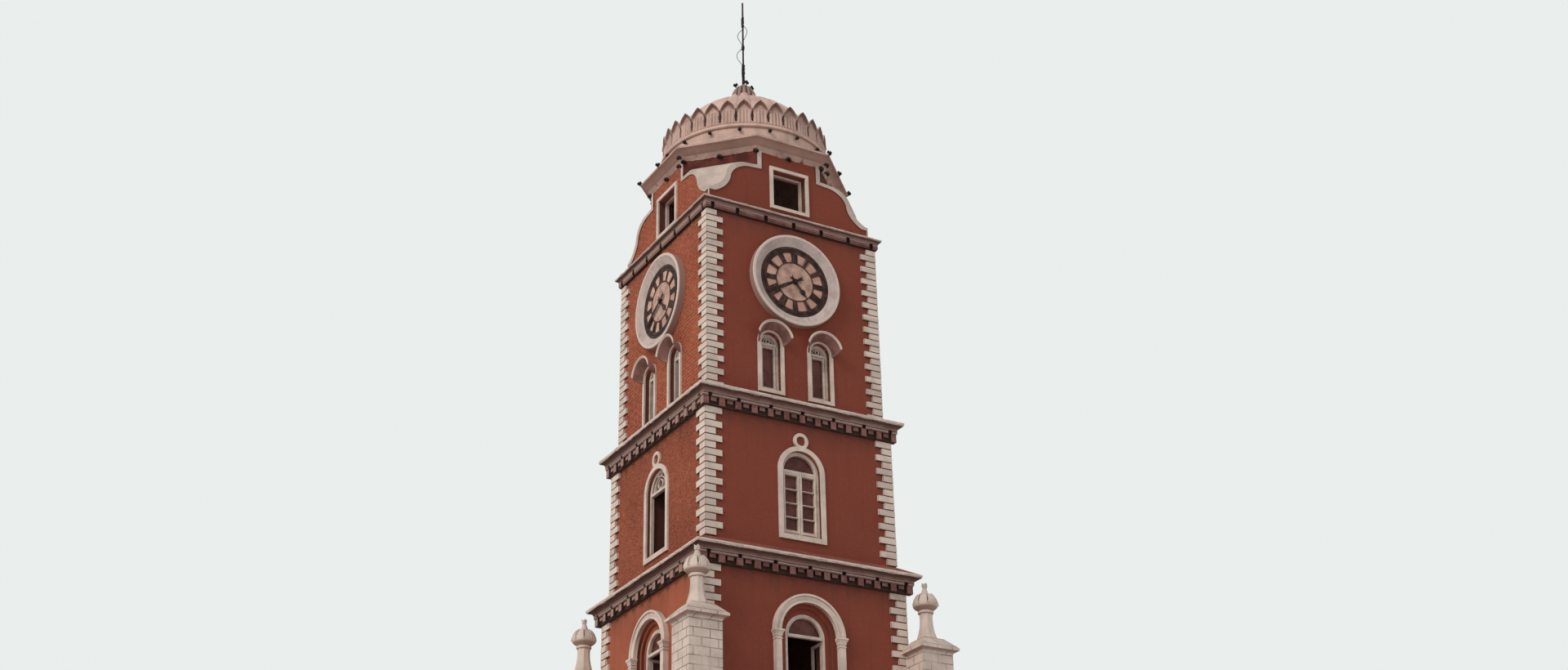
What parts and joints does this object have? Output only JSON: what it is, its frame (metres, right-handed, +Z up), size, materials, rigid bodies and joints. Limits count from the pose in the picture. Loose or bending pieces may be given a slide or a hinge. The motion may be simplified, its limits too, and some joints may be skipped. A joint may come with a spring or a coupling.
{
  "type": "clock tower",
  "caption": "Square clock tower with quoined brick storeys, corner piers with lotus buds, moulded cornices, turning hands on skeleton dials and a petalled dome.",
  "frame": {"origin": "on the ground under the middle of the tower", "axes": "+Z up, the front face looks along -Y, +X to the right seen from the front"},
  "size_m": [6.16, 6.16, 29.06],
  "materials": {
    "cream_plaster": "pinkish white lime plaster",
    "dial_iron": "dark brown paint on iron",
    "dial_opal": "peach opal sheet",
    "floor_slab": "plain cement",
    "glass": "dusty dark window glass",
    "hand_paint": "dark paint on sheet aluminium",
    "lamp_black": "black lamp bodies",
    "mast_iron": "dull dark paint on steel",
    "pier_masonry": "white painted brick with visible joints",
    "quoin_stone": "white painted stones with dark joints",
    "red_wall": "red-brown limewash over brick",
    "white_joinery": "weathered white oil paint",
    "white_masonry": "weathered white paint over rendered brick"
  },
  "bodies": {
    "tower": {"arch_surrounds": "white_masonry", "attic_corner_roofs": "cream_plaster", "attic_front_back_gables": "red_wall", "attic_side_gables": "red_wall", "attic_window_frames": "white_joinery", "attic_window_surrounds": "white_masonry", "base_cornices": "white_masonry", "clock_bezels": "white_masonry", "clock_front_back_walls": "red_wall", "clock_side_walls": "red_wall", "corner_piers": "pier_masonry", "dial_glass": "dial_opal", "dial_skeletons": "dial_iron", "dome": "cream_plaster", "dome_finial": "cream_plaster", "drum": "cream_plaster", "eave": "cream_plaster", "festoon_lamps": "lamp_black", "first_front_back_walls": "red_wall", "first_side_walls": "red_wall", "first_window_frames": "white_joinery", "first_window_leaves": "white_joinery", "floors": "floor_slab", "ground_back_wall": "red_wall", "ground_front_arch_wall": "red_wall", "ground_front_left_wall": "red_wall", "ground_front_right_wall": "red_wall", "ground_side_walls": "red_wall", "hand_arbors": "dial_iron", "lotus_band": "cream_plaster", "lower_cornice": "white_masonry", "lower_front_back_walls": "red_wall", "lower_side_walls": "red_wall", "lower_window_frames": "white_joinery", "mast": "mast_iron", "middle_cornice": "white_masonry", "pinnacles": "pier_masonry", "plinth": "white_masonry", "quoins": "quoin_stone", "second_front_back_walls": "red_wall", "second_side_walls": "red_wall", "second_window_frames": "white_joinery", "second_window_surrounds": "white_masonry", "small_window_frames": "white_joinery", "small_window_surrounds": "white_masonry", "upper_cornice": "white_masonry", "window_glass": "glass", "window_hoods": "white_masonry"},
    "front_minute_hand": {"front_minute_hand": "hand_paint"},
    "front_hour_hand": {"front_hour_hand": "hand_paint"},
    "right_minute_hand": {"right_minute_hand": "hand_paint"},
    "right_hour_hand": {"right_hour_hand": "hand_paint"},
    "back_minute_hand": {"back_minute_hand": "hand_paint"},
    "back_hour_hand": {"back_hour_hand": "hand_paint"},
    "left_minute_hand": {"left_minute_hand": "hand_paint"},
    "left_hour_hand": {"left_hour_hand": "hand_paint"}
  },
  "joints": [
    {"name": "front_minute_turn", "type": "hinge", "parent": "tower", "child": "front_minute_hand", "pos_m": [0, -2.19, 20.262], "axis": [0, 1, 0], "continuous": true},
    {"name": "front_hour_turn", "type": "hinge", "parent": "tower", "child": "front_hour_hand", "pos_m": [0, -2.19, 20.262], "axis": [0, 1, 0], "continuous": true},
    {"name": "right_minute_turn", "type": "hinge", "parent": "tower", "child": "right_minute_hand", "pos_m": [2.19, 0, 20.262], "axis": [-1, 0, 0], "continuous": true},
    {"name": "right_hour_turn", "type": "hinge", "parent": "tower", "child": "right_hour_hand", "pos_m": [2.19, 0, 20.262], "axis": [-1, 0, 0], "continuous": true},
    {"name": "back_minute_turn", "type": "hinge", "parent": "tower", "child": "back_minute_hand", "pos_m": [0, 2.19, 20.262], "axis": [0, -1, 0], "continuous": true},
    {"name": "back_hour_turn", "type": "hinge", "parent": "tower", "child": "back_hour_hand", "pos_m": [0, 2.19, 20.262], "axis": [0, -1, 0], "continuous": true},
    {"name": "left_minute_turn", "type": "hinge", "parent": "tower", "child": "left_minute_hand", "pos_m": [-2.19, 0, 20.262], "axis": [1, 0, 0], "continuous": true},
    {"name": "left_hour_turn", "type": "hinge", "parent": "tower", "child": "left_hour_hand", "pos_m": [-2.19, 0, 20.262], "axis": [1, 0, 0], "continuous": true}
  ],
  "couplings": [
    {"joint": "front_hour_turn", "follows": "front_minute_turn", "ratio": 0.083333},
    {"joint": "right_minute_turn", "follows": "front_minute_turn", "ratio": 1},
    {"joint": "right_hour_turn", "follows": "front_minute_turn", "ratio": 0.083333},
    {"joint": "back_minute_turn", "follows": "front_minute_turn", "ratio": 1},
    {"joint": "back_hour_turn", "follows": "front_minute_turn", "ratio": 0.083333},
    {"joint": "left_minute_turn", "follows": "front_minute_turn", "ratio": 1},
    {"joint": "left_hour_turn", "follows": "front_minute_turn", "ratio": 0.083333}
  ]
}
